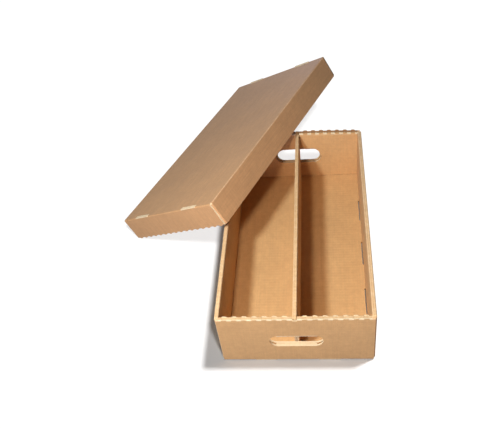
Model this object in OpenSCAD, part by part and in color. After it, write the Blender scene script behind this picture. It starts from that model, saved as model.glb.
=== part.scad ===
// Corrugated box for mailing and storing two rows of disc cases.
// An open tray with rolled-over walls, a folded divider down its middle, and a
// lift-off lid that leans on the tray's far left corner with one long edge on the table.
// Millimetres, +Z up, +Y away from the viewer, origin at the centre of the tray's underside.

/* [Board] */
// Thickness of the corrugated board
board = 4; // [3:0.5:5]
// Air between two layers that lie face to face
layer_gap = 0.2; // [0.1:0.1:0.5]
// Outside radius of a fold
fold_r = 3; // [1:0.5:3]

/* [Perforated folds] */
// Distance from one cut in a perforated fold to the next
cut_pitch = 20; // [16:1:30]
// Length of each cut
cut_len = 10; // [6:1:12]
// Height that a cut edge stands above its fold
cut_rise = 1.2; // [0.4:0.2:2]

/* [Tray] */
// Outside width
tray_w = 320; // [300:5:400]
// Outside length
tray_l = 572; // [480:4:700]
// Outside height
tray_h = 147; // [130:1:180]
// Air between the two layers of a side wall
side_gap = 1; // [0.5:0.5:3]
// Step from the side rims down to the end rims
end_drop = 1.5; // [0:0.5:3]
// Distance that each end panel stops short of the side face
panel_inset = 3; // [1:0.5:4]
// Radius at both top corners of a side wall
corner_r = 6; // [2:1:10]

/* [Tuck flaps] */
// Length of the tray's tuck flaps, from the side face
tray_tuck = 66; // [40:1:70]
// Length of the lid's tuck flaps, from the side face
lid_tuck = 48; // [30:1:60]
// Distance from a tuck flap's end to the locking tab beside it
tuck_to_tab = 5.5; // [2:0.5:8]

/* [Locking tabs] */
// Width of the tabs in the tray's ends
tray_tab_w = 44; // [30:1:50]
// Width of the tabs in the lid's ends
lid_tab_w = 48; // [30:1:56]
// Height over which an end tab leans out towards its slot
tab_lean = 12; // [6:1:20]
// Length of the tabs along the side walls
side_tab_l = 68; // [40:2:90]
// Distance from one side tab to the next
side_tab_pitch = 140; // [100:5:180]
// Number of tabs along each side wall
side_tab_n = 3; // [1:1:3]
// Width of a floor slot that shows beside a side wall
slot_show = 3.2; // [1:0.2:5]
// Air around a tab in its slot
slot_play = 0.5; // [0.2:0.1:1]
// Height that the lid's end panels stand above its top at each slot
edge_rise = 1.2; // [0:0.2:2]

/* [Hand holes] */
// Width
hole_w = 110; // [80:2:130]
// Height
hole_h = 36; // [24:1:44]
// Height of the centre above the table
hole_z = 70; // [50:1:80]
// Extra height and width of the hole in the inner layer
hole_rise = 9; // [0:1:12]

/* [Divider] */
// Air between the divider's two layers
divider_gap = 1; // [0.5:0.5:3]
// Air around the divider at the end walls and in their notches
divider_play = 0.3; // [0.2:0.1:1]
// Depth of the notch that holds each end of the divider
notch_d = 5; // [4.5:0.5:12]
// Distance that the divider's ears stop short of the tray's end faces
ear_inset = 1.5; // [0.5:0.5:3]

/* [Lid] */
// Outside height
lid_h = 61; // [45:1:80]
// Air between the lid and the tray on each side when it is on
lid_play = 2; // [1:0.5:4]

/* [Leaning lid] */
// Turn of the lid's long side from the tray's
lid_turn = 25; // [20:1:30]
// Distance across, from the tray's far left corner to the lid's nearest corner
lid_across = 250; // [240:2:270]
// Distance towards the viewer, from the tray's far left corner to the lid's nearest corner
lid_near = 217; // [190:1:240]
// Air between the lid and the tray corner that it leans on
lean_gap = 0.2; // [0.1:0.1:0.5]

/* [Hidden] */
$fn = 48;
kraft = [0.79, 0.61, 0.43];
kraft_lid = [0.66, 0.50, 0.38];
kraft_light = [0.86, 0.69, 0.50];
beyond = 1;

// A side wall is two layers thick and an end wall three, with the tuck flaps between
side_t = 2 * board + side_gap;
end_t = 3 * board + 2 * layer_gap;
divider_t = 2 * board + divider_gap;
end_h = tray_h - end_drop;
tuck_y = board + layer_gap;
inner_y = 2 * tuck_y;
foot_z = board + layer_gap;
cut_arc_r = (pow(cut_len / 2, 2) + pow(cut_rise, 2)) / (2 * cut_rise);
tray_tab_x = tray_w / 2 - tray_tuck - tuck_to_tab - tray_tab_w / 2;

lid_w = tray_w + 2 * (board + lid_play);
lid_l = tray_l + 2 * (end_t + lid_play);
lid_tab_x = lid_w / 2 - lid_tuck - tuck_to_tab - lid_tab_w / 2;

// The lid turns about its long edge on the table until its top lies on the tray's corner
lean_x = lid_across * cos(lid_turn) - lid_near * sin(lid_turn);
lean_r = norm([lean_x, tray_h]);
lid_tilt = acos((lid_h - board - lean_gap) / lean_r) - atan2(lean_x, tray_h);

// Centres of the cuts along a fold, each wholly within half the fold's length of the middle,
// and none in the middle itself, where the divider lies in the tray
function cut_places(half, first) =
    let (n = ceil(half / cut_pitch))
    [for (k = [-n:n]) let (x = first + k * cut_pitch) if (x != 0 && abs(x) + cut_len / 2 < half) x];

// Outlines

// What a rounded corner at the origin takes away
module corner_cut(r) {
    difference() {
        translate([-beyond, -beyond]) square(r + beyond);
        translate([r, r]) circle(r);
    }
}

// One layer standing on its fold, outer face on x = 0
module panel_section(high) {
    difference() {
        square([board, high]);
        corner_cut(fold_r);
    }
}

// A wall rolled over on itself, outer face on x = 0
module rolled_section(thick, high) {
    difference() {
        square([thick, high]);
        corner_cut(fold_r);
        translate([0, high]) mirror([0, 1]) corner_cut(fold_r);
        translate([thick, high]) rotate(180) corner_cut(fold_r);
        translate([board, -beyond]) square([thick - 2 * board, high - board + beyond]);
        translate([board, -beyond]) square([thick, foot_z + beyond]);
    }
}

module stadium(wide, high) {
    square([wide - high, high], center = true);
    for (s = [-1, 1]) translate([s * (wide - high) / 2, 0]) circle(high / 2);
}

// A cut edge seen along the rim, which is at y = 0
module cut_edge() {
    intersection() {
        translate([0, cut_rise - cut_arc_r]) circle(cut_arc_r);
        translate([-cut_len / 2, -fold_r]) square([cut_len, fold_r + cut_rise]);
    }
}

// An end tab in section: from the inner layer's foot it leans out to the slot beside the end panel
module tab_section() {
    lean_z = foot_z + tab_lean;
    polygon([
        [end_t - board, lean_z + beyond],
        [end_t, lean_z + beyond],
        [end_t, lean_z],
        [tuck_y + board, foot_z],
        [tuck_y + board, 0],
        [tuck_y, 0],
        [tuck_y, foot_z],
        [end_t - board, lean_z]
    ]);
}

// Runs of an outline

module run_x(long) { rotate([90, 0, 90]) linear_extrude(long, center = true) children(); }

module run_y(long) { rotate([90, 0, 0]) linear_extrude(long, center = true) children(); }

module both_ends(long) { for (s = [0, 1]) mirror([0, s, 0]) translate([0, -long / 2, 0]) children(); }

module both_sides(wide) { for (s = [0, 1]) mirror([s, 0, 0]) translate([-wide / 2, 0, 0]) children(); }

// Pieces of a folded shell, which stands open side up with its outer faces on the given size

// Flat floor with the slots for the end tabs
module floor_panel(wide, long, tab_w, tab_x) {
    slot_w = tab_w + 2 * slot_play;
    difference() {
        translate([-wide / 2 + fold_r, -long / 2 + fold_r, 0])
            cube([wide - 2 * fold_r, long - 2 * fold_r, board]);
        both_ends(long)
            for (s = [-1, 1])
                translate([s * tab_x - slot_w / 2, board, -beyond])
                    cube([slot_w, tuck_y + slot_play, board + 2 * beyond]);
    }
}

// Outer layer of a side with a tuck flap folded in at each end, outer face on x = 0
module side_panel(long, high, flap_top, tuck) {
    difference() {
        union() {
            run_y(long - 2 * tuck_y) panel_section(high);
            both_ends(long)
                translate([0, tuck_y, foot_z]) cube([tuck, board, flap_top - foot_z]);
        }
        both_ends(long)
            translate([0, tuck_y, -beyond]) linear_extrude(high + 2 * beyond) corner_cut(fold_r);
    }
}

// End wall with its outer face on y = 0: end panel, rim, inner layer, tabs and cut edges
module end_wall(wide, inner_w, high, tab_w, tab_x, edge_up, first_cut) {
    slot_w = tab_w + 2 * slot_play;
    difference() {
        union() {
            run_x(wide - 2 * panel_inset)
                difference() {
                    panel_section(high);
                    translate([0, high]) mirror([0, 1]) corner_cut(fold_r);
                }
            run_x(inner_w) rolled_section(end_t, high);
        }
        for (s = [-1, 1])
            translate([s * tab_x - slot_w / 2, inner_y - layer_gap / 2, 0])
                cube([slot_w, board + beyond, foot_z + tab_lean]);
    }
    for (s = [-1, 1]) {
        translate([s * tab_x, 0, 0]) run_x(tab_w) tab_section();
        translate([s * tab_x - slot_w / 2, 0, -edge_up]) cube([slot_w, board, fold_r + edge_up]);
    }
    for (x = cut_places(inner_w / 2, first_cut))
        for (y = [fold_r, end_t])
            translate([x, y, high]) rotate([90, 0, 0]) linear_extrude(fold_r) cut_edge();
}

// Tray

// Rim and inner layer of a side wall, cut back at the ends to make room for the tuck flaps
module side_lining() {
    difference() {
        run_y(tray_l - 2 * tuck_y) rolled_section(side_t, tray_h);
        both_ends(tray_l)
            translate([board, tuck_y - beyond, -beyond])
                cube([side_t, inner_y - tuck_y + beyond, end_h - board + beyond]);
    }
}

module side_tab_places() {
    for (k = [0:side_tab_n - 1])
        translate([0, (k - (side_tab_n - 1) / 2) * side_tab_pitch, 0]) children();
}

module side_wall() {
    difference() {
        union() {
            side_panel(tray_l, tray_h, end_h - board - layer_gap, tray_tuck);
            side_lining();
        }
        both_ends(tray_l)
            translate([0, tuck_y, tray_h])
                mirror([0, 0, 1]) run_x(2 * (side_t + beyond)) corner_cut(corner_r);
        both_ends(tray_l)
            translate([0, tuck_y, -beyond]) linear_extrude(tray_h + 2 * beyond) corner_cut(fold_r);
    }
    side_tab_places()
        translate([side_t - board, -side_tab_l / 2, 0]) cube([board, side_tab_l, foot_z + beyond]);
}

module side_slots() {
    slot_l = side_tab_l + 2 * slot_play;
    both_sides(tray_w)
        side_tab_places()
            translate([side_t - board - layer_gap, -slot_l / 2, -beyond])
                cube([board + layer_gap + slot_show, slot_l, board + 2 * beyond]);
}

// Openings in an end wall: the hand hole through both layers and the divider's notch
module end_openings() {
    notch_w = divider_t + 2 * divider_play;
    translate([0, board + layer_gap / 2, hole_z])
        rotate([90, 0, 0]) linear_extrude(board + beyond) stadium(hole_w, hole_h);
    translate([0, end_t + beyond, hole_z + hole_rise / 2])
        rotate([90, 0, 0]) linear_extrude(board + layer_gap + beyond) stadium(hole_w + hole_rise, hole_h + hole_rise);
    translate([-notch_w / 2, -beyond, end_h - notch_d])
        cube([notch_w, end_t + 2 * beyond, notch_d + cut_rise + beyond]);
}

module tray() {
    color(kraft) {
        difference() {
            floor_panel(tray_w, tray_l, tray_tab_w, tray_tab_x);
            side_slots();
        }
        both_sides(tray_w) side_wall();
        both_ends(tray_l)
            difference() {
                end_wall(tray_w, tray_w - 2 * (side_t + layer_gap), end_h, tray_tab_w, tray_tab_x, 0, 0);
                end_openings();
            }
    }
}

// Divider: a sheet folded over at the top, with an ear at each end that lies in a notch

module divider_section(high) {
    difference() {
        translate([-divider_t / 2, 0]) square([divider_t, high]);
        translate([-divider_gap / 2, -beyond]) square([divider_gap, high - board + beyond]);
        translate([-divider_t / 2, high]) mirror([0, 1]) corner_cut(fold_r);
        translate([divider_t / 2, high]) rotate(180) corner_cut(fold_r);
    }
}

module divider() {
    ear_h = notch_d - divider_play;
    color(kraft_light)
        translate([0, 0, board])
            difference() {
                run_y(tray_l - 2 * ear_inset) divider_section(end_h - board);
                both_ends(tray_l)
                    translate([-divider_t, -beyond, -beyond])
                        cube([2 * divider_t, end_t + divider_play + beyond, end_h - board - ear_h + beyond]);
            }
}

// Lid

// The lid standing on its top, open side up
module lid_shell() {
    floor_panel(lid_w, lid_l, lid_tab_w, lid_tab_x);
    both_sides(lid_w) side_panel(lid_l, lid_h, lid_h - board - layer_gap, lid_tuck);
    both_ends(lid_l)
        end_wall(lid_w, lid_w - 2 * (board + layer_gap), lid_h, lid_tab_w, lid_tab_x, edge_rise, cut_pitch / 2);
}

module lid() {
    color(kraft_lid)
        translate([-tray_w / 2 - lid_across, tray_l / 2 - lid_near, 0])
            rotate([0, -lid_tilt, -lid_turn])
                translate([lid_w / 2, lid_l / 2, lid_h])
                    mirror([0, 0, 1]) lid_shell();
}

tray();
divider();
lid();
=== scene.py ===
import bpy
import math
import random
import numpy as np
from mathutils import Matrix, Vector
from mathutils.geometry import tessellate_polygon


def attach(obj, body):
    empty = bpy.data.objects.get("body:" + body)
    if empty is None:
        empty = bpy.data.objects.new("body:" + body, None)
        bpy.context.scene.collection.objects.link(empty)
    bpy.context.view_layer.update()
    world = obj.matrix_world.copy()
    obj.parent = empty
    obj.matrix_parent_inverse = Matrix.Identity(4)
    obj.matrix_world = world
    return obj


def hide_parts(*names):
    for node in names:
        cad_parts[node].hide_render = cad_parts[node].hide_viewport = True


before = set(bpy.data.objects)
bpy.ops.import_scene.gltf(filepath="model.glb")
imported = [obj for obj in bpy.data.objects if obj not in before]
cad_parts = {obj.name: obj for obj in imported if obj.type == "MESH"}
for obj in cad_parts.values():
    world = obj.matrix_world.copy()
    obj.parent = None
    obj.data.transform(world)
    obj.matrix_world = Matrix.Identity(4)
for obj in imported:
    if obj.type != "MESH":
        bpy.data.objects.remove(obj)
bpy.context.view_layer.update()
random.seed(7)

# Board. All sizes are in millimetres, in the CAD model's frame

board = {
    "thick": 4.0, "liner": 0.4, "medium": 0.35, "pitch": 7.95,  # C flute
    "foldRadius": 3.0, "gap": 0.2,  # gap between layers that lie on each other
    "recess": 0.5, "tornRecess": 0.05,  # how far the middle lies behind a cut edge, and behind a crushed one
    "bead": 0.45,  # depth of the beads that the flutes leave along a fold
    "foldShort": 1.2, "uprightShort": 0.3,  # how far a long side's folds stop short of its corners
}
# The last finish is a darker liner colour: painted shade
faceFinish, highlightAndRubFinish, edgeFinish, coreFinish, paintedShadeFinish = range(5)  # order of each node's materials

# Camera, set from the photograph's corners

camera = {
    "at": (71.4, -1034.9, 1228.1), "lens": 47.93,
    "forward": (-0.11628, 0.68711, -0.71719), "right": (0.99276, 0.05851, -0.1049),
}


def setCamera():
    forward = Vector(camera["forward"]).normalized()
    right = Vector(camera["right"])
    right = (right - forward * right.dot(forward)).normalized()
    up = right.cross(forward)
    data = bpy.data.cameras.new("photoCamera")
    data.lens, data.sensor_width = camera["lens"], 36
    data.clip_start, data.clip_end = 0.05, 50
    eye = bpy.data.objects.new("photoCamera", data)
    turn = Matrix((right, up, -forward)).transposed()
    eye.matrix_world = Matrix.Translation(Vector(camera["at"]) / 1000) @ turn.to_4x4()
    bpy.context.scene.collection.objects.link(eye)
    bpy.context.scene.camera = eye


setCamera()
print("camera set")


# Mesh collecting

# A piece of folded board. flats holds each point's place on the flat sheet, as (across the flutes,
# along the flutes, through the board)
class PaperMesh:
    def __init__(self, name):
        self.name = name
        self.points, self.flats = [], []
        self.faces, self.finishes, self.rounds = [], [], []

    def add(self, points, flats, faces, finishes, rounded=False):
        start = len(self.points)
        self.points += [tuple(p) for p in points]
        self.flats += [tuple(f) for f in flats]
        self.faces += [tuple(start + i for i in f) for f in faces]
        self.finishes += list(finishes)
        self.rounds += [rounded] * len(faces)

    def build(self, node, placing=None, bend=None):
        move = placing or Matrix.Identity(4)
        mesh = bpy.data.meshes.new(self.name)
        shaped = [bend(p) for p in self.points] if bend else self.points
        mesh.from_pydata([move @ (Vector(p) / 1000) for p in shaped], [], self.faces)
        flat = mesh.attributes.new("flatPlace", "FLOAT_VECTOR", "POINT")
        flat.data.foreach_set("vector", (np.array(self.flats, np.float32) / 1000).ravel())
        for material in paperMaterials[node]:
            mesh.materials.append(material)
        mesh.polygons.foreach_set("material_index", self.finishes)
        mesh.polygons.foreach_set("use_smooth", self.rounds)
        mesh.update()
        mesh.set_sharp_from_angle(angle=math.radians(38))
        piece = bpy.data.objects.new(self.name, mesh)
        bpy.context.scene.collection.objects.link(piece)
        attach(piece, "root")
        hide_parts(node)
        boxParts.objects.link(piece)
        if node != "lid":
            standingParts.objects.link(piece)
        if not self.name.endswith("Front"):  # the front end doesn't shade the floor behind it
            shadeCasters.objects.link(piece)
        return piece


def frameOf(origin, u, v, n):
    return np.array([u, v, n], float), np.array(origin, float)


def placed(place, flat):
    axes, origin = place
    return np.asarray(flat, float) @ axes + origin


def box2(x0, y0, x1, y1):
    return [(x0, y0), (x1, y0), (x1, y1), (x0, y1)]


def turned(loop, clockwise):
    area = sum(a[0] * b[1] - b[0] * a[1] for a, b in zip(loop, loop[1:] + loop[:1]))
    return loop[::-1] if (area > 0) == clockwise else list(loop)


# Moves each side of a loop towards the paper, which is on its left
def insetLoop(loop, by):
    result = []
    for i, here in enumerate(loop):
        a, b, c = np.array(loop[i - 1]), np.array(here), np.array(loop[(i + 1) % len(loop)])
        d1, d2 = b - a, c - b
        d1, d2 = d1 / max(np.hypot(*d1), 1e-9), d2 / max(np.hypot(*d2), 1e-9)
        n1, n2 = np.array([-d1[1], d1[0]]), np.array([-d2[1], d2[0]])
        mitre = n1 + n2
        mitre = mitre / max(mitre @ mitre / 2, 0.35)
        result.append(tuple(b + mitre * by))
    return result


# A flat layer between two depths
def layPlate(paper, loops, low, high, place, flatOf, lowFinish, highFinish, sideFinish):
    triangles = tessellate_polygon([[Vector((u, v, 0)) for u, v in loop] for loop in loops])
    flat2 = [p for loop in loops for p in loop]
    count = len(flat2)
    both = [(u, v, low) for u, v in flat2] + [(u, v, high) for u, v in flat2]
    faces, finishes = [], []
    for a, b, c in triangles:
        pa, pb, pc = flat2[a], flat2[b], flat2[c]
        area = (pb[0] - pa[0]) * (pc[1] - pa[1]) - (pc[0] - pa[0]) * (pb[1] - pa[1])
        if area < 0:
            b, c = c, b
        faces += [(c, b, a), (count + a, count + b, count + c)]
        finishes += [lowFinish, highFinish]
    start = 0
    for loop in loops:
        n = len(loop)
        for i in range(n):
            a, b = start + i, start + (i + 1) % n
            faces.append((a, b, count + b, count + a))
            finishes.append(sideFinish)
        start += n
    if np.linalg.det(place[0]) < 0:
        faces = [f[::-1] for f in faces]
    paper.add(placed(place, both), [flatOf(p) for p in both], faces, finishes)


def crossings(loops, at):
    found = []
    for loop in loops:
        for a, b in zip(loop, loop[1:] + loop[:1]):
            if (a[0] <= at) != (b[0] <= at):
                found.append(a[1] + (at - a[0]) * (b[1] - a[1]) / (b[0] - a[0]))
    found.sort()
    return list(zip(found[0::2], found[1::2]))


# The ends of the fluted medium, which show between the liners at every cut edge
def layFluteEnds(paper, loops, place, flatOf, alongV, cut):
    if not alongV:
        loops = [[(v, u) for u, v in loop] for loop in loops]
    lows = min(p[0] for loop in loops for p in loop)
    highs = max(p[0] for loop in loops for p in loop)
    step = board["pitch"] / 10
    marks = set(round(p[0], 4) for loop in loops for p in loop)
    marks |= set(round(i * step, 4) for i in range(math.ceil(lows / step), math.floor(highs / step) + 1))
    marks = sorted(marks)
    swing = board["thick"] / 2 - board["liner"] - board["medium"] / 2
    deep, half = board["recess"] + 0.5, board["medium"] / 2

    def mid(x):
        return board["thick"] / 2 + swing * math.sin(2 * math.pi * x / board["pitch"])

    for x0, x1 in zip(marks, marks[1:]):
        if x1 - x0 < 0.02:
            continue
        first, second = crossings(loops, x0 + 0.005), crossings(loops, x1 - 0.005)
        if len(first) != len(second):
            continue
        for (a0, b0), (a1, b1) in zip(first, second):
            for e0, e1, sign in ((a0, a1, 1), (b0, b1, -1)):
                if b0 - a0 < 2 * deep or b1 - a1 < 2 * deep:
                    continue
                corners = [(x0, e0), (x1, e1), (x1, e1 + sign * deep), (x0, e0 + sign * deep)]
                flats = [(x, y, mid(x) + away) for away in (-half, half) for x, y in corners]
                if not alongV:
                    flats = [(y, x, n) for x, y, n in flats]
                faces = [(0, 1, 5, 4), (4, 5, 6, 7), (3, 2, 1, 0)]
                finishes = [cut, coreFinish, coreFinish]
                paper.add(placed(place, flats), [flatOf(p) for p in flats], faces, finishes)


# One layer of board: two liners, the filled middle a little inside its cut edges, and the flutes' ends.
# The die crushes some edges, so that torn paper fills them
def layBoard(paper, outline, holes, place, alongV, crushed=False, cut=edgeFinish):
    loops = [turned(outline, False)] + [turned(h, True) for h in holes]
    thick, liner = board["thick"], board["liner"]
    recess = board["tornRecess"] if crushed else board["recess"]

    def flatOf(p):
        return p if alongV else (p[1], p[0], p[2])

    layPlate(paper, loops, 0, liner, place, flatOf, faceFinish, coreFinish, cut)
    layPlate(paper, loops, thick - liner, thick, place, flatOf, coreFinish, faceFinish, cut)
    inner = [insetLoop(loop, recess) for loop in loops]
    fill = cut if crushed or cut == paintedShadeFinish else coreFinish
    layPlate(paper, inner, liner, thick - liner, place, flatOf, coreFinish, coreFinish, fill)
    if not crushed:
        layFluteEnds(paper, loops, place, flatOf, alongV, cut)


# A bar whose closed section may change along its length; place takes (along, a, b)
def sweepBar(paper, place, ts, sectionAt, finishAt, acrossFlutes, capFinish=edgeFinish):
    rings = [sectionAt(t) for t in ts]
    count = len(rings[0])
    points, flats = [], []
    for t, ring in zip(ts, rings):
        walk = 0.0
        for j, (a, b) in enumerate(ring):
            if j:
                walk += math.hypot(a - ring[j - 1][0], b - ring[j - 1][1])
            points.append((t, a, b))
            flats.append((t, walk, 0) if acrossFlutes else (walk, t, 0))
    faces, finishes = [], []
    for i in range(len(ts) - 1):
        for j in range(count):
            k = (j + 1) % count
            faces.append((i * count + j, i * count + k, (i + 1) * count + k, (i + 1) * count + j))
            finishes.append(finishAt(0.5 * (ts[i] + ts[i + 1]), j))
    faces += [tuple(range(count))[::-1], tuple((len(ts) - 1) * count + j for j in range(count))]
    finishes += [capFinish, capFinish]
    ring = rings[0]
    area = sum(a[0] * b[1] - b[0] * a[1] for a, b in zip(ring, ring[1:] + ring[:1]))
    if (area > 0) != (np.linalg.det(place[0]) > 0):
        faces = [f[::-1] for f in faces]
    paper.add(placed(place, points), flats, faces, finishes, rounded=True)


def beadAt(t):
    return 0.5 - 0.5 * math.cos(2 * math.pi * t / board["pitch"])


def evenly(low, high, step):
    n = max(1, round((high - low) / step))
    return [low + (high - low) * i / n for i in range(n + 1)]


# Folds and rims

# Section of a fold between two panels: outer corner at (0, 0), rounded, the rest square
def foldSection(bead=0.0):
    thick, r, steps = board["thick"], board["foldRadius"], 8
    arc = []
    for k in range(steps + 1):
        angle = math.pi + k * math.pi / 2 / steps
        less = r - bead * math.sin(math.pi * k / steps)
        arc.append((r + less * math.cos(angle), r + less * math.sin(angle)))
    return [(0, thick)] + arc + [(thick, 0), (thick, thick)]


def beadedFold(t):
    return foldSection(board["bead"] * beadAt(t))


def plainFold(t):
    return foldSection()


# A bar's finish where it is the same all round
def allOver(finish):
    return lambda t, j: finish


# Only the crest of a fold takes the paler fold colour: a painted highlight, with rubbed patches on it
def crestHighlight(t, j):
    return highlightAndRubFinish if 3 <= j <= 6 else faceFinish


roll = {"samples": 22, "creaseWide": 1.3, "creaseDeep": 0.75, "beadFrom": 1.2}


def roundedEdge(a):
    r = board["foldRadius"]
    return -r + math.sqrt(max(r * r - (r - min(a, r)) ** 2, 0))


# Section of a wall rolled over on itself: outer face on a = 0, rim at b = 0, two ridges and a crease
# between them
def rollSection(width, bead, drop=0.0):
    thick, r = board["thick"], board["foldRadius"]
    ring = [(0, -r)]
    for k in range(1, roll["samples"]):
        a = width * (0.5 - 0.5 * math.cos(math.pi * k / roll["samples"]))
        edge = min(a, width - a)
        crease = math.exp(-((a - width / 2) / roll["creaseWide"]) ** 2)
        sunk = roll["creaseDeep"] * crease + bead * min(1.0, edge / roll["beadFrom"]) * (1 - 0.5 * crease)
        ring.append((a, roundedEdge(edge) - sunk))
    ring.append((width, -r))
    lowered = [(a, max(b - drop, -thick + 0.01 * (i + 1))) for i, (a, b) in enumerate(ring)]
    return [(0, -thick)] + lowered + [(width, -thick)]


# Section of an end rim, outer fold at a = 0 and inner fold at a = width, where the rim lies a little lower.
# At a bridge both folds are round; at a cut the wall's own edge stands up square
def perforatedSection(width, cut, arc, look):
    thick, r = board["thick"], board["foldRadius"]
    half, edgeWide, edgeEnd = width / 2, 1.6, 1.65  # edgeWide is the torn edge's own width
    marks = [0, 0.15, 0.45, 0.9, 1.3, edgeWide, 1.75, 2.4, 3.2, thick, thick + 0.8, half]

    def halfSection(rise):
        points = []
        for a in marks:
            bridge = roundedEdge(a) - 0.5 * max(0, min(1, (a - r) / (half - r))) ** 0.7
            torn = rise * arc - 0.25 * max(0, 1 - min(a, edgeWide - a) / 0.4)
            behind = -0.75 + 0.25 * (a - edgeEnd) / (half - edgeEnd)
            stand = torn if a < edgeEnd else behind
            points.append((a, bridge + (stand - bridge) * cut))
        return points

    right = [(width - a, b) for a, b in halfSection(look["innerRise"])[:-1]][::-1]
    ring = [(0, -thick)] + halfSection(look["outerRise"]) + right + [(width, -thick)]
    return [(a, b - look["innerDrop"] * a / width) for a, b in ring]


perforation = {"pitch": 20.0, "long": 10.0, "end": 0.35}  # "end" is half the slope at a cut's end


# How far a place on the rim is in a cut, how high the cut's arc stands there, and the cut's middle
def cutAt(t, first):
    cuts = perforation
    nearest = first + round((t - first) / cuts["pitch"]) * cuts["pitch"]
    off = abs(t - nearest)
    share = min(1.0, max(0.0, (cuts["long"] / 2 + cuts["end"] - off) / (2 * cuts["end"])))
    return share, max(0.0, 1 - (off / (cuts["long"] / 2)) ** 2), nearest


def perforatedMarks(low, high, first):
    pitch, long, past = perforation["pitch"], perforation["long"], perforation["end"] + 0.01
    marks = {round(v, 3) for v in evenly(low, high, 2.0)}
    for k in range(-20, 21):
        centre = first + k * pitch
        for side in (-1, 1):
            for off in (past, 0, -past):
                mark = round(centre + side * (long / 2 + off), 3)
                if low < mark < high:
                    marks.add(mark)
    return sorted(marks)


# Rim of an end wall from low to high along X. The middle cut is left out where the notch is
def layEndRim(paper, low, high, shell, s):
    look, first, notched = shell["rims"][s], shell["firstCut"], bool(shell.get("notch"))

    def isWhole(nearest):
        past = abs(nearest) + perforation["long"] / 2 > max(abs(low), abs(high))
        return past or (notched and abs(nearest) < 1)

    def section(t):
        cut, arc, nearest = cutAt(t, first)
        return perforatedSection(look["wide"], 0 if isWhole(nearest) else cut, arc, look)

    def finish(t, j):
        cut, _, nearest = cutAt(t, first)
        side, k = ("outer", j) if j <= 11 else ("inner", 23 - j)  # k counts from the near fold inwards
        if k <= 0:
            return faceFinish
        if k > 8:
            return look["valley"]
        return look[side + ("Bridge" if cut < 0.5 or isWhole(nearest) else "Cut")]

    place = endFrame(shell, s, z=shell["endHigh"])
    sweepBar(paper, place, perforatedMarks(low, high, first), section, finish, False)


# Outline helper: a panel's lower or upper side with tongues (up) or notches (down) at the given places
def edgeWithSteps(low, high, level, steps):
    points = [(low, level)]
    for a, b, to in sorted(steps):
        points += [(a, level), (a, to), (b, to), (b, level)]
    points.append((high, level))
    return points


# A slot with round ends, such as a hand hole, with its cut roughened
def stadiumLoop(wide, high, centre, rough):
    loop = []
    r, count, straightCount = high / 2, 18, 14
    for side in (1, -1):
        for k in range(count + 1):
            angle = -math.pi / 2 + math.pi * k / count + (0 if side > 0 else math.pi)
            reach = r + random.uniform(-rough, rough)
            x = side * (wide / 2 - r) + reach * math.cos(angle)
            loop.append((x, centre + reach * math.sin(angle)))
        for k in range(1, straightCount):
            x = side * (wide / 2 - r) * (1 - 2 * k / straightCount)
            loop.append((x, centre + side * (r + random.uniform(-rough, rough))))
    return loop


# Shell parts

# A shell stands open side up with its outer faces on wide x long and its underside at z = 0. Its
# flutes run across it, along X. side is -1 or 1 along X, and s is -1 or 1 along Y
def endFrame(shell, s, x=0, z=0, up=1):
    return frameOf((x, s * shell["long"] / 2, z), (1, 0, 0), (0, -s, 0), (0, 0, up))


def tabSpans(shell):
    half = shell["tabWide"] / 2 + shell["slotPlay"]
    return [(k * shell["tabX"] - half, k * shell["tabX"] + half) for k in (-1, 1)]


def layShellFloor(paper, shell):
    halfX, halfY = shell["wide"] / 2 - board["thick"], shell["long"] / 2 - board["thick"]
    reach = board["thick"] + board["gap"] + shell["slotPlay"]
    lower = edgeWithSteps(-halfX, halfX, -halfY, [(a, b, -halfY + reach) for a, b in tabSpans(shell)])
    upper = edgeWithSteps(-halfX, halfX, halfY, [(a, b, halfY - reach) for a, b in tabSpans(shell)])
    slots = [box2(*slot) for slot in shell["sideSlots"]]
    place = frameOf((0, 0, 0), (1, 0, 0), (0, 1, 0), (0, 0, 1))
    layBoard(paper, lower + upper[::-1], slots, place, False, crushed=True, cut=shell["slotFinish"])


# Long sides: outer panel and its folds to the floor and to the tuck flaps
def layShellSide(paper, shell, side):
    x, thick = side * shell["wide"] / 2, board["thick"]
    end = shell["long"] / 2 - thick - board["gap"]
    top = shell["high"] - (thick if shell["rolled"] else 0)
    place = frameOf((x, 0, 0), (0, 1, 0), (0, 0, 1), (-side, 0, 0))
    layBoard(paper, box2(-(end - thick), thick, end - thick, top), [], place, True)
    fold = frameOf((x, 0, 0), (0, 1, 0), (-side, 0, 0), (0, 0, 1))
    foldEnd = end - board["foldShort"]
    sweepBar(paper, fold, evenly(-foldEnd, foldEnd, board["pitch"] / 8), beadedFold, crestHighlight, True)
    for s in (-1, 1):
        upright = frameOf((x, s * end, 0), (0, 0, 1), (-side, 0, 0), (0, -s, 0))
        stops = [thick, top - board["uprightShort"]]
        sweepBar(paper, upright, stops, plainFold, allOver(shell["uprightFold"][side]), False)


# The long sides' tuck flaps, between the layers of an end
def layTuckFlaps(paper, shell, s):
    thick, gap = board["thick"], board["gap"]
    flap = box2(thick, thick + gap, shell["tuck"], shell["flapTop"])
    for side in (-1, 1):
        corner = (side * shell["wide"] / 2, s * (shell["long"] / 2 - thick - gap), 0)
        layBoard(paper, flap, [], frameOf(corner, (-side, 0, 0), (0, 0, 1), (0, -s, 0)), True)


torn = {
    "lipHang": (0.2, 1.5), "lipFrom": 4, "lipTo": 6, "lipStep": 2.2,
    "shredTop": (-1.3, -0.3), "shredFrom": 6, "shredTo": 4, "shredStep": 2.6, "shredDeep": 3,
    "dent": 0.12, "dentStep": 6, "edgeRough": 0.25, "edgeStep": 2.5,  # along an end's lower fold
}


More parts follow.
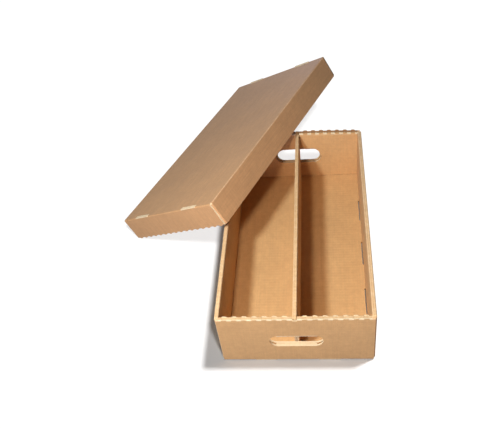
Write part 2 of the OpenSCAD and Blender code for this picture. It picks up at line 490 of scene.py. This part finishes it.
# Torn paper at the hand hole: a lip hangs over its upper side, and shreds fill the gap between the
# layers along its lower side
def layTornHole(paper, shell, s):
    hole, thick = shell["handHole"], board["thick"]
    straight, ragged = (hole["wide"] - hole["high"]) / 2, random.Random(5)

    def lip(t):
        return box2(0.03, -hole["taller"] - ragged.uniform(*torn["lipHang"]), 0.6, 0.3)

    def shreds(t):
        return box2(thick, -torn["shredDeep"], 2 * thick + board["gap"], ragged.uniform(*torn["shredTop"]))

    crown = endFrame(shell, s, z=hole["z"] + hole["high"] / 2 + hole["taller"])
    stops = evenly(-straight - torn["lipFrom"], straight + torn["lipTo"], torn["lipStep"])
    sweepBar(paper, crown, stops, lip, allOver(edgeFinish), False)
    sill = endFrame(shell, s, z=hole["z"] - hole["high"] / 2)
    stops = evenly(-straight - torn["shredFrom"], straight + torn["shredTo"], torn["shredStep"])
    sweepBar(paper, sill, stops, shreds, allOver(edgeFinish), False)


# The end panel's fold to the floor, and its torn edge beside each slot
def layEndFold(paper, shell, s, panelHalf):
    top = shell["rawEdge"] - shell["edgeUp"]

    def dentedFold(t):
        return foldSection(torn["dent"] * random.random())

    def tornEdge(t):
        low = 0.02 - shell["edgeUp"] + random.uniform(0, torn["edgeRough"])
        return box2(0.02, low, board["thick"] - 0.02, top)

    place = endFrame(shell, s)
    stops = [-panelHalf] + [v for span in tabSpans(shell) for v in span] + [panelHalf]
    for a, b in zip(stops[0::2], stops[1::2]):
        sweepBar(paper, place, evenly(a, b, torn["dentStep"]), dentedFold, allOver(faceFinish), False)
    for a, b in tabSpans(shell):
        sweepBar(paper, place, evenly(a, b, torn["edgeStep"]), tornEdge, allOver(edgeFinish), False)


# Locking tabs of an end's inner layer: they lean out under the tuck flaps and stand in the slots
def layEndTabs(paper, shell, s):
    near, far = board["thick"] + board["gap"], 2 * board["thick"] + board["gap"]
    wall, lean = far + near, near + shell["tabLean"]
    leg = [(wall - board["thick"], lean), (near, near), (near, 0.02), (far, 0.02), (far, near), (wall, lean)]
    half = shell["tabWide"] / 2
    for k in (-1, 1):
        sweepBar(paper, endFrame(shell, s, x=k * shell["tabX"]), evenly(-half, half, 8),
                 lambda t: leg, lambda t, j: edgeFinish if j == 2 else faceFinish, False)  # 2 is the foot


# Short ends: end panel, inner layer and locking tabs
def layShellEnd(paper, shell, s):
    thick, gap = board["thick"], board["gap"]
    panelHalf, innerHalf = shell["wide"] / 2 - shell["panelInset"], shell["innerWide"] / 2
    yOut, top, look = s * shell["long"] / 2, shell["endHigh"] - thick, shell["rims"][s]
    notch, hole = shell.get("notch"), shell.get("handHole")
    rimSteps, opening, innerOpening = [], [], []
    if notch:
        rimSteps = [(-notch["wide"] / 2, notch["wide"] / 2, shell["endHigh"] - notch["deep"])]
    rawTop = shell["rawEdge"] - shell["edgeUp"]
    lower = edgeWithSteps(-panelHalf, panelHalf, thick, [(a, b, rawTop) for a, b in tabSpans(shell)])
    upper = edgeWithSteps(-panelHalf, panelHalf, top, rimSteps)
    if hole:
        high, middle = hole["high"] + hole["taller"], hole["z"] + hole["taller"] / 2
        opening = [stadiumLoop(hole["wide"], high, middle, hole["rough"])]
    place = frameOf((0, yOut, 0), (1, 0, 0), (0, 0, 1), (0, -s, 0))
    layBoard(paper, lower + upper[::-1], opening, place, False, crushed=True)
    if hole:
        layTornHole(paper, shell, s)
    layEndFold(paper, shell, s, panelHalf)
    lean = s * (3 * thick + 2 * gap - look["wide"]) / top  # the layers are pressed together at the rim
    lower = edgeWithSteps(-innerHalf, innerHalf, thick + gap + shell["footGap"], [])
    upper = edgeWithSteps(-innerHalf, innerHalf, top - look["innerDrop"], rimSteps)
    if hole:
        innerOpening = [stadiumLoop(hole["innerWide"], hole["innerHigh"], hole["innerZ"], hole["rough"])]
    place = frameOf((0, yOut - s * 2 * (thick + gap), 0), (1, 0, 0), (0, lean, 1), (0, -s, 0))
    layBoard(paper, lower + upper[::-1], innerOpening, place, False, crushed=True)
    layEndTabs(paper, shell, s)


def layRimPieces(paper, shell, s):
    innerHalf, panelHalf = shell["innerWide"] / 2, shell["wide"] / 2 - shell["panelInset"]
    notch = shell.get("notch")
    notchSides = [-notch["wide"] / 2, notch["wide"] / 2] if notch else []
    stops = [-innerHalf] + notchSides + [innerHalf]
    for a, b in zip(stops[0::2], stops[1::2]):
        layEndRim(paper, a, b, shell, s)
    place = endFrame(shell, s, z=shell["endHigh"], up=-1)
    for k in (-1, 1):
        ends = sorted((k * innerHalf, k * panelHalf))
        # The short folds at the rim's ends take the pale fold colour, a painted highlight
        sweepBar(paper, place, ends, plainFold, allOver(highlightAndRubFinish), False)


# Kraft paper finishes. flatPlace is (across the flutes, along the flutes, depth) in metres

kraft = {
    # The fold colour is paler than the face: a painted highlight, with rubbed patches laid on it in the fold
    # liner
    "face": (0.69, 0.425, 0.205), "fold": (0.76, 0.51, 0.29), "paintedShade": (0.40, 0.215, 0.105),
    "edge": (0.86, 0.68, 0.46), "core": (0.66, 0.46, 0.27),
    "mottleDark": (0.55, 0.36, 0.22), "mottlePale": (0.98, 0.86, 0.70),
    # The colour laid in the hollows between the flutes is painted shade
    "hollowShade": (0.25, 0.13, 0.06), "rubbed": (0.94, 0.80, 0.60),
    "mottle": 0.22, "fibre": 0.27, "strand": 0.32, "fleck": 0.384, "fluteShade": 0.022,
    "roughness": 0.74, "fluteDepth": 0.00013,
}


class NodeTree:
    def __init__(self, name):
        self.material = bpy.data.materials.new(name)
        self.material.use_nodes = True
        self.nodes, self.links = self.material.node_tree.nodes, self.material.node_tree.links
        self.shader = self.nodes["Principled BSDF"]

    def put(self, kind, sockets=None, **settings):
        node = self.nodes.new(kind)
        for key, value in settings.items():
            setattr(node, key, value)
        for key, value in (sockets or {}).items():
            if isinstance(value, bpy.types.NodeSocket):
                self.links.new(value, node.inputs[key])
            else:
                node.inputs[key].default_value = value
        return node

    def math(self, operation, a, b=0.0, clamp=False):
        return self.put("ShaderNodeMath", {0: a, 1: b}, operation=operation, use_clamp=clamp).outputs[0]

    def blend(self, share, a, b, mode="MIX"):
        shade, under, over = [(*v, 1) if isinstance(v, tuple) else v for v in (share, a, b)]
        sockets = {0: shade, 6: under, 7: over}
        return self.put("ShaderNodeMix", sockets, data_type="RGBA", blend_type=mode).outputs[2]

    def stretch(self, vector, scale):
        return self.put("ShaderNodeMapping", {"Vector": vector, "Scale": scale}).outputs[0]

    def noise(self, vector, scale, detail=3.0, roughness=0.55):
        sockets = {"Vector": vector, "Scale": scale, "Detail": detail, "Roughness": roughness}
        return self.put("ShaderNodeTexNoise", sockets).outputs["Fac"]

    def between(self, value, low, high, toLow, toHigh):
        sockets = {"Value": value, "From Min": low, "From Max": high, "To Min": toLow, "To Max": toHigh}
        return self.put("ShaderNodeMapRange", sockets).outputs[0]

    def bump(self, height, strength, distance, under=None):
        sockets = {"Height": height, "Strength": strength, "Distance": distance}
        if under:
            sockets["Normal"] = under
        return self.put("ShaderNodeBump", sockets).outputs[0]


# Wave of the flutes across the sheet, 0 at a hollow and 1 on a flute's tip
def fluteWave(tree, place):
    across = tree.put("ShaderNodeSeparateXYZ", {0: place}).outputs[0]
    turn = tree.math("MULTIPLY", across, 2 * math.pi * 1000 / board["pitch"])
    return tree.between(tree.math("SINE", turn), -1, 1, 0, 1)


def shaded(colour, by, plus=0.0):
    return tuple(min(1, c * by + plus) for c in colour)


# Liner paper: slow mottling, streaks and fibres along the sheet, dark and pale flecks, the flutes showing
# through as bumps, and painted shade in the hollows between the flutes
def linerMaterial(name, colour, tint, fluteShade, gloss, streaks, wear=0.0):
    tree = NodeTree(name)
    colour = tuple(c * t for c, t in zip(colour, tint))
    place = tree.put("ShaderNodeAttribute", attribute_name="flatPlace").outputs["Vector"]
    solid = tree.put("ShaderNodeTexCoord").outputs["Object"]
    cloud = tree.noise(solid, 14, 2, 0.5)
    patch = tree.noise(solid, 95, 3, 0.65)
    streak = tree.noise(tree.stretch(place, (9, 300, 60)), 1.0, 3, 0.6)
    fibre = tree.noise(tree.stretch(place, (160, 1500, 400)), 1.0, 4, 0.7)
    strand = tree.noise(tree.stretch(place, (900, 6500, 2000)), 1.0, 2, 0.6)
    fleck = tree.noise(solid, 1300, 1, 0.4)
    wave = fluteWave(tree, place)
    tone = tree.blend(tree.between(cloud, 0.34, 0.66, 0.25, 0.95), shaded(colour, 0.93), shaded(colour, 1.04))
    mottle = tree.blend(tree.between(patch, 0.35, 0.65, 0, 1), kraft["mottleDark"], kraft["mottlePale"])
    tone = tree.blend(kraft["mottle"], tone, mottle, "MULTIPLY")
    tone = tree.blend(tree.between(streak, 0.40, 0.66, 0, streaks), tone, shaded(colour, 0.74))
    tone = tree.blend(tree.between(fibre, 0.42, 0.62, 0, kraft["fibre"]), tone, shaded(colour, 0.72))
    tone = tree.blend(tree.between(strand, 0.60, 0.74, 0, kraft["strand"]), tone, shaded(colour, 1.35, 0.03))
    tone = tree.blend(tree.between(fleck, 0.66, 0.78, 0, kraft["fleck"]), tone, shaded(colour, 0.45))
    # Painted shade in the hollows between the flutes
    hollowShade = tree.math("MULTIPLY", tree.between(wave, 0.15, 0.85, 1, 0), kraft["fluteShade"] * fluteShade)
    tone = tree.blend(hollowShade, tone, kraft["hollowShade"])
    if wear:
        rub = tree.noise(solid, 90, 4, 0.7)
        tone = tree.blend(tree.between(rub, 0.45, 0.70, 0, wear), tone, kraft["rubbed"])
    tree.links.new(tone, tree.shader.inputs["Base Color"])
    rough = kraft["roughness"] - 0.2 * gloss
    tree.links.new(tree.between(fibre, 0.3, 0.7, rough - 0.08, rough + 0.10), tree.shader.inputs["Roughness"])
    tree.shader.inputs["Specular IOR Level"].default_value = 0.22 + 0.45 * gloss
    tree.shader.inputs["Sheen Weight"].default_value = 0.03 + 0.12 * gloss
    tree.shader.inputs["Sheen Roughness"].default_value = 0.5
    wavy = tree.bump(wave, fluteShade, kraft["fluteDepth"])
    slack = tree.bump(cloud, 0.5, 0.004, wavy)
    fuzz = tree.math("ADD", tree.math("MULTIPLY", fibre, 0.7), tree.math("MULTIPLY", strand, 0.3))
    tree.links.new(tree.bump(fuzz, 0.45, 0.00025, slack), tree.shader.inputs["Normal"])
    return tree.material


# Cut edges: paper torn by the die, and fuzzy
def edgeMaterial(name, colour):
    tree = NodeTree(name)
    solid = tree.put("ShaderNodeTexCoord").outputs["Object"]
    tear, fuzz = tree.noise(solid, 240, 4, 0.7), tree.noise(solid, 1800, 2, 0.6)
    tone = tree.blend(tree.between(tear, 0.35, 0.65, 0, 1), shaded(colour, 0.88), colour)
    tone = tree.blend(tree.between(fuzz, 0.55, 0.75, 0, 0.4), tone, shaded(colour, 0.7))
    tree.links.new(tone, tree.shader.inputs["Base Color"])
    tree.shader.inputs["Roughness"].default_value = 0.9
    tree.shader.inputs["Specular IOR Level"].default_value = 0.2
    ragged = tree.bump(tree.math("ADD", tear, fuzz), 0.6, 0.0004)
    tree.links.new(ragged, tree.shader.inputs["Normal"])
    return tree.material


def paperSet(name, tint, fluteShade, gloss, streaks, edge):
    return [
        linerMaterial(name + "Liner", kraft["face"], tint, fluteShade, gloss, streaks),
        # Paler fold liner: a painted highlight, with rubbed patches on it
        linerMaterial(name + "Fold", kraft["fold"], tint, 0.4, 0, streaks, wear=0.25),
        edgeMaterial(name + "CutEdge", tuple(c * edge for c in kraft["edge"])),
        edgeMaterial(name + "Medium", kraft["core"]),
        # Darker liner: painted shade
        linerMaterial(name + "PaintedShade", kraft["paintedShade"], tint, 0.4, 0, streaks),
    ]


paperMaterials = {
    "tray": paperSet("tray", (1, 1, 1), 1.0, 0, 0.30, 0.90),
    "divider": paperSet("divider", (1.02, 1.01, 0.98), 0.8, 0, 0.40, 1.0),
    "lid": paperSet("lid", (0.90, 0.835, 0.88), 0.6, 0.15, 0.60, 1.08),
}
boxParts = bpy.data.collections.new("boxParts")
standingParts = bpy.data.collections.new("standingParts")
shadeCasters = bpy.data.collections.new("shadeCasters")
for group in (boxParts, standingParts, shadeCasters):
    bpy.context.scene.collection.children.link(group)
print("kraft finishes made")


# Tray

tray = {
    "wide": 320, "long": 572, "high": 147, "endHigh": 145.5, "rolled": True,
    "sideThick": 9, "liningDepth": 5, "cornerRadius": 6, "rimShort": 0.36,
    "panelInset": 3, "innerWide": 301.6, "tuck": 66, "flapTop": 141.3, "footGap": 1.3,
    "tabWide": 44, "tabX": 66.5, "tabLean": 12, "slotPlay": 0.5,  # end tabs and their slots
    "edgeUp": 0, "rawEdge": 2.6,  # an end panel's cut edge at its slots: how far it stands out, and its depth
    "firstCut": 0,  # place of one of the cuts along the end rims
    # The left upright fold takes the pale fold colour, a painted highlight; the right one and the floor's
    # slot edges take painted shade
    "uprightFold": {-1: highlightAndRubFinish, 1: paintedShadeFinish}, "slotFinish": paintedShadeFinish,
    "handHole": {"wide": 110, "high": 36, "z": 70, "taller": 1.2, "rough": 0.25,
                 "innerWide": 119, "innerHigh": 45, "innerZ": 74.5},
    "notch": {"wide": 9.6, "deep": 5},
    "sideTab": {"long": 68, "at": (-140, 0, 140), "show": {-1: 0.7, 1: 2.6}},  # gap seen beside the tab
    "bow": 6, "bowHalf": 157,  # the far end wall bulges a little at its top
}
# A wall's cut edges stand up as arcs at the cuts and fold over at the bridges between them. On the front rim
# the folds and the valley take pale colours, a painted highlight; on the back rim the inner fold's bridges
# take the pale cut-edge colour, a painted highlight, and the outer fold and the valley take painted shade
tray["rims"] = {
    -1: {"wide": 10.9, "innerDrop": 1.9, "outerRise": 0.35, "innerRise": 1.2,
         "outerCut": edgeFinish, "outerBridge": edgeFinish,
         "innerCut": edgeFinish, "innerBridge": highlightAndRubFinish, "valley": highlightAndRubFinish},
    1: {"wide": 10.9, "innerDrop": 1.9, "outerRise": 1.2, "innerRise": 0.3,
        "outerCut": paintedShadeFinish, "outerBridge": paintedShadeFinish,
        "innerCut": faceFinish, "innerBridge": edgeFinish, "valley": paintedShadeFinish},
}


def sideSlot(side, y):
    wallFace, tab = tray["wide"] / 2 - tray["sideThick"], tray["sideTab"]
    xs = sorted((side * (wallFace + board["thick"] + board["gap"]), side * (wallFace - tab["show"][side])))
    half = tab["long"] / 2 + tray["slotPlay"]
    return xs[0], y - half, xs[1], y + half


tray["sideSlots"] = [sideSlot(side, y) for side in (-1, 1) for y in tray["sideTab"]["at"]]


# The side walls' inner layer, with its locking tabs
def layLining(paper, side):
    tab, layer = tray["sideTab"], board["thick"] + board["gap"]
    end, top = tray["long"] / 2 - 2 * layer, tray["high"] - board["thick"]
    tongues = [(y - tab["long"] / 2, y + tab["long"] / 2, 0.05) for y in tab["at"]]
    outline = edgeWithSteps(-end, end, layer, tongues) + [(end, top), (-end, top)]
    x = side * (tray["wide"] / 2 - tray["liningDepth"])
    layBoard(paper, outline, [], frameOf((x, 0, 0), (0, 1, 0), (0, 0, 1), (-side, 0, 0)), True)


# Rim of a side wall, rounded down at both corners. The right one's outer ridge takes painted shade, and the
# rest of both rims the pale fold colour, a painted highlight
def laySideRim(paper, side):
    end, r = tray["long"] / 2 - board["thick"] - board["gap"], tray["cornerRadius"]

    def section(t):
        near = max(0.0, r - (end - abs(t)))
        drop = r - math.sqrt(max(r * r - near * near, 0)) if near < r else r
        return rollSection(tray["sideThick"], board["bead"] * beadAt(t), drop)

    def tone(t, j):
        return paintedShadeFinish if side > 0 and 1 <= j <= 4 else highlightAndRubFinish

    place = frameOf((side * tray["wide"] / 2, 0, tray["high"]), (0, 1, 0), (-side, 0, 0), (0, 0, 1))
    rimEnd = end - tray["rimShort"]
    sweepBar(paper, place, evenly(-rimEnd, rimEnd, board["pitch"] / 8), section, tone, True)


def bowOut(p):
    share = max(0, 1 - (p[0] / tray["bowHalf"]) ** 2) * p[2] / tray["high"]
    return (p[0], p[1] + tray["bow"] * share, p[2])


trayFloor = PaperMesh("trayFloor")
layShellFloor(trayFloor, tray)
trayFloor.build("tray")

for sideName, side in (("Left", -1), ("Right", 1)):
    wall = PaperMesh("traySide" + sideName)
    layShellSide(wall, tray, side)
    layLining(wall, side)
    wall.build("tray")
    rim = PaperMesh("trayRim" + sideName)
    laySideRim(rim, side)
    rim.build("tray")

for endName, s in (("Front", -1), ("Back", 1)):
    bulge = bowOut if s > 0 else None
    wall = PaperMesh("trayEnd" + endName)
    layShellEnd(wall, tray, s)
    layTuckFlaps(wall, tray, s)
    wall.build("tray", bend=bulge)
    rim = PaperMesh("trayRim" + endName)
    layRimPieces(rim, tray, s)
    rim.build("tray", bend=bulge)
print("tray built")


# Divider: a folded sheet over the middle, its ears in the end walls' notches

divider = {
    "thick": 9, "bottom": 4.02, "top": 145.5, "panelEnd": 273.3, "earEnd": 284.5,
    "bendFrom": 180, "bendLong": 95,  # its far end follows the bulge of the tray's far end wall
}


def reachBow(p):
    share = max(0, (p[1] - divider["bendFrom"]) / divider["bendLong"]) * p[2] / tray["high"]
    return (p[0], p[1] + tray["bow"] * share, p[2])


def dividerRoll(t):
    return rollSection(divider["thick"], board["bead"] * beadAt(t))


panels = PaperMesh("dividerPanels")
panel = box2(-divider["panelEnd"], divider["bottom"], divider["panelEnd"], divider["top"] - board["thick"])
for side in (-1, 1):
    place = frameOf((side * divider["thick"] / 2, 0, 0), (0, 1, 0), (0, 0, 1), (-side, 0, 0))
    layBoard(panels, panel, [], place, True)
panels.build("divider", bend=reachBow)

ridge = PaperMesh("dividerRoll")
place = frameOf((-divider["thick"] / 2, 0, divider["top"]), (0, 1, 0), (1, 0, 0), (0, 0, 1))
stops = evenly(-divider["earEnd"], divider["earEnd"], board["pitch"] / 8)
# The roll takes the pale fold colour, a painted highlight
sweepBar(ridge, place, stops, dividerRoll, allOver(highlightAndRubFinish), True, coreFinish)
ridge.build("divider", bend=reachBow)
print("divider built")


# Lid, made open side up and then turned onto the tray's far left corner

lid = {
    "wide": 332, "long": 600.8, "high": 61, "endHigh": 61, "rolled": False,
    "panelInset": 3, "innerWide": 323.6, "tuck": 48, "flapTop": 56.8, "footGap": 1.3,
    "tabWide": 48, "tabX": 88.5, "tabLean": 12, "slotPlay": 0.5, "sideSlots": [],
    "edgeUp": 1.2, "rawEdge": 2.4, "firstCut": 10,
    "uprightFold": {-1: faceFinish, 1: faceFinish}, "slotFinish": edgeFinish,
    "corner": (-410, 69, 0), "tilt": 30.9217, "turn": 25,  # degrees
}
# On the lid's rims the bridges take the pale fold colour, a painted highlight
lidRim = {
    "wide": 12.4, "innerDrop": 0, "outerRise": 1.2, "innerRise": 1.2,
    "outerCut": edgeFinish, "outerBridge": highlightAndRubFinish,
    "innerCut": edgeFinish, "innerBridge": highlightAndRubFinish, "valley": faceFinish,
}
lid["rims"] = {-1: lidRim, 1: lidRim}


def lidPlacing():
    corner = Matrix.Translation(Vector(lid["corner"]) / 1000)
    turn = Matrix.Rotation(math.radians(-lid["turn"]), 4, "Z")
    tilt = Matrix.Rotation(math.radians(-lid["tilt"]), 4, "Y")
    middle = Matrix.Translation(Vector((lid["wide"] / 2, lid["long"] / 2, lid["high"])) / 1000)
    return corner @ turn @ tilt @ middle @ Matrix.Scale(-1, 4, (0, 0, 1))


# Turning a shell over mirrors it, so its faces are wound the other way round
def buildFlipped(paper):
    paper.faces = [f[::-1] for f in paper.faces]
    return paper.build("lid", lidPlacing())


lidTop = PaperMesh("lidTop")
layShellFloor(lidTop, lid)
buildFlipped(lidTop)
for sideName, side in (("Low", -1), ("High", 1)):
    wall = PaperMesh("lidSide" + sideName)
    layShellSide(wall, lid, side)
    buildFlipped(wall)
for endName, s in (("Near", -1), ("Far", 1)):
    wall = PaperMesh("lidEnd" + endName)
    layShellEnd(wall, lid, s)
    layTuckFlaps(wall, lid, s)
    buildFlipped(wall)
    rim = PaperMesh("lidRim" + endName)
    layRimPieces(rim, lid, s)
    buildFlipped(rim)
print("lid built")


# Studio, in metres: a pale floor and surround, five lamps for the box and two suns for the floor

studio = {
    "lampA": {"kind": "AREA", "at": (-0.17, -0.70, 0.98), "power": 6.6, "wide": 0.10,
              "colour": (1.0, 0.82, 0.64)},
    "lampB": {"kind": "AREA", "at": (-0.52, -0.82, 1.34), "power": 20, "wide": 0.16,
              "colour": (0.90, 1.0, 1.0)},
    "fill": {"kind": "AREA", "at": (-0.15, -2.2, 0.42), "power": 11.5, "wide": 0.6,
             "colour": (0.90, 0.82, 1.0)},
    "farLamp": {"kind": "AREA", "at": (-0.15, 1.7, 0.40), "power": 7, "wide": 0.3,
                "colour": (0.48, 0.62, 1.0)},
    "sideLamp": {"kind": "AREA", "at": (1.7, 0.1, 0.11), "power": 9, "wide": 0.1,
                 "colour": (1, 1, 1)},
    "floorAbove": {"kind": "SUN", "at": (1.25, 0.65, 4.2), "power": 2.8, "wide": 6,  # wide in degrees
                   "colour": (1, 1, 1)},
    "floorFront": {"kind": "SUN", "at": (0.75, -1.5, 2.6), "power": 1.2, "wide": 5,
                   "colour": (1, 1, 1)},
    "surround": 0.012, "floorReach": 30, "floorZ": -0.0006, "floorBounce": (0.12, 0.12, 0.12),
}


def addLamp(name, target, receivers, blockers=None):
    spec = studio[name]
    data = bpy.data.lights.new(name, spec["kind"])
    data.energy, data.color = spec["power"], spec["colour"]
    if spec["kind"] == "SUN":
        data.angle = math.radians(spec["wide"])
    else:
        data.shape, data.size = "DISK", spec["wide"]
    lamp = bpy.data.objects.new(name, data)
    lamp.location = spec["at"]
    lamp.rotation_euler = (Vector(target) - Vector(spec["at"])).to_track_quat("-Z", "Y").to_euler()
    lamp.light_linking.receiver_collection = receivers
    lamp.light_linking.blocker_collection = blockers
    bpy.context.scene.collection.objects.link(lamp)


def addFloor():
    mesh = bpy.data.meshes.new("studioFloor")
    reach, z = studio["floorReach"], studio["floorZ"]
    mesh.from_pydata([(x, y, z) for x, y in box2(-reach, -reach, reach, reach)], [], [(0, 1, 2, 3)])
    tree = NodeTree("paleFloor")
    path = tree.put("ShaderNodeLightPath").outputs
    seen = tree.math("MAXIMUM", path["Is Glossy Ray"], path["Is Transmission Ray"])
    seen = tree.math("MAXIMUM", path["Is Camera Ray"], seen)
    grainy = tree.noise(tree.put("ShaderNodeTexCoord").outputs["Object"], 3, 2)
    lit = tree.blend(grainy, (0.90, 0.90, 0.90), (0.92, 0.92, 0.92))
    pale = tree.put("ShaderNodeBsdfDiffuse", {"Color": tree.blend(seen, studio["floorBounce"], lit)})
    glow = tree.put("ShaderNodeEmission", {"Color": (1, 1, 1, 1), "Strength": 1.0})
    share = tree.math("MULTIPLY", seen, 0.08)
    mixed = tree.put("ShaderNodeMixShader", {0: share, 1: pale.outputs[0], 2: glow.outputs[0]})
    out = next(n for n in tree.nodes if n.type == "OUTPUT_MATERIAL")
    tree.links.new(mixed.outputs[0], out.inputs["Surface"])
    tree.nodes.remove(tree.shader)
    mesh.materials.append(tree.material)
    floor = bpy.data.objects.new("studioFloor", mesh)
    floorOnly = bpy.data.collections.new("floorOnly")
    bpy.context.scene.collection.children.link(floorOnly)
    floorOnly.objects.link(floor)
    return floorOnly


def setSurround():
    world = bpy.data.worlds.new("paleSurround")
    world.use_nodes = True
    nodes, links = world.node_tree.nodes, world.node_tree.links
    background = nodes["Background"]
    path = nodes.new("ShaderNodeLightPath")
    seen = nodes.new("ShaderNodeMath")
    seen.operation = "MAXIMUM"
    links.new(path.outputs["Is Camera Ray"], seen.inputs[0])
    links.new(path.outputs["Is Glossy Ray"], seen.inputs[1])
    strength = nodes.new("ShaderNodeMapRange")
    links.new(seen.outputs[0], strength.inputs["Value"])
    strength.inputs["To Min"].default_value = studio["surround"]
    strength.inputs["To Max"].default_value = 1.0
    background.inputs["Color"].default_value = (1, 1, 1, 1)
    links.new(strength.outputs[0], background.inputs["Strength"])
    bpy.context.scene.world = world


floorOnly = addFloor()
for name in ("lampA", "lampB"):  # the front end's pieces don't shade these two
    addLamp(name, (0, 0, 0.05), boxParts, shadeCasters)
for name in ("fill", "farLamp"):
    addLamp(name, (0, 0, 0.05), boxParts)
addLamp("sideLamp", (0, 0, 0.08), standingParts)
addLamp("floorAbove", (0, 0, 0), floorOnly, standingParts)
addLamp("floorFront", (0, 0, 0), floorOnly)
setSurround()
bpy.context.scene.view_settings.view_transform = "Standard"
print("studio lit")
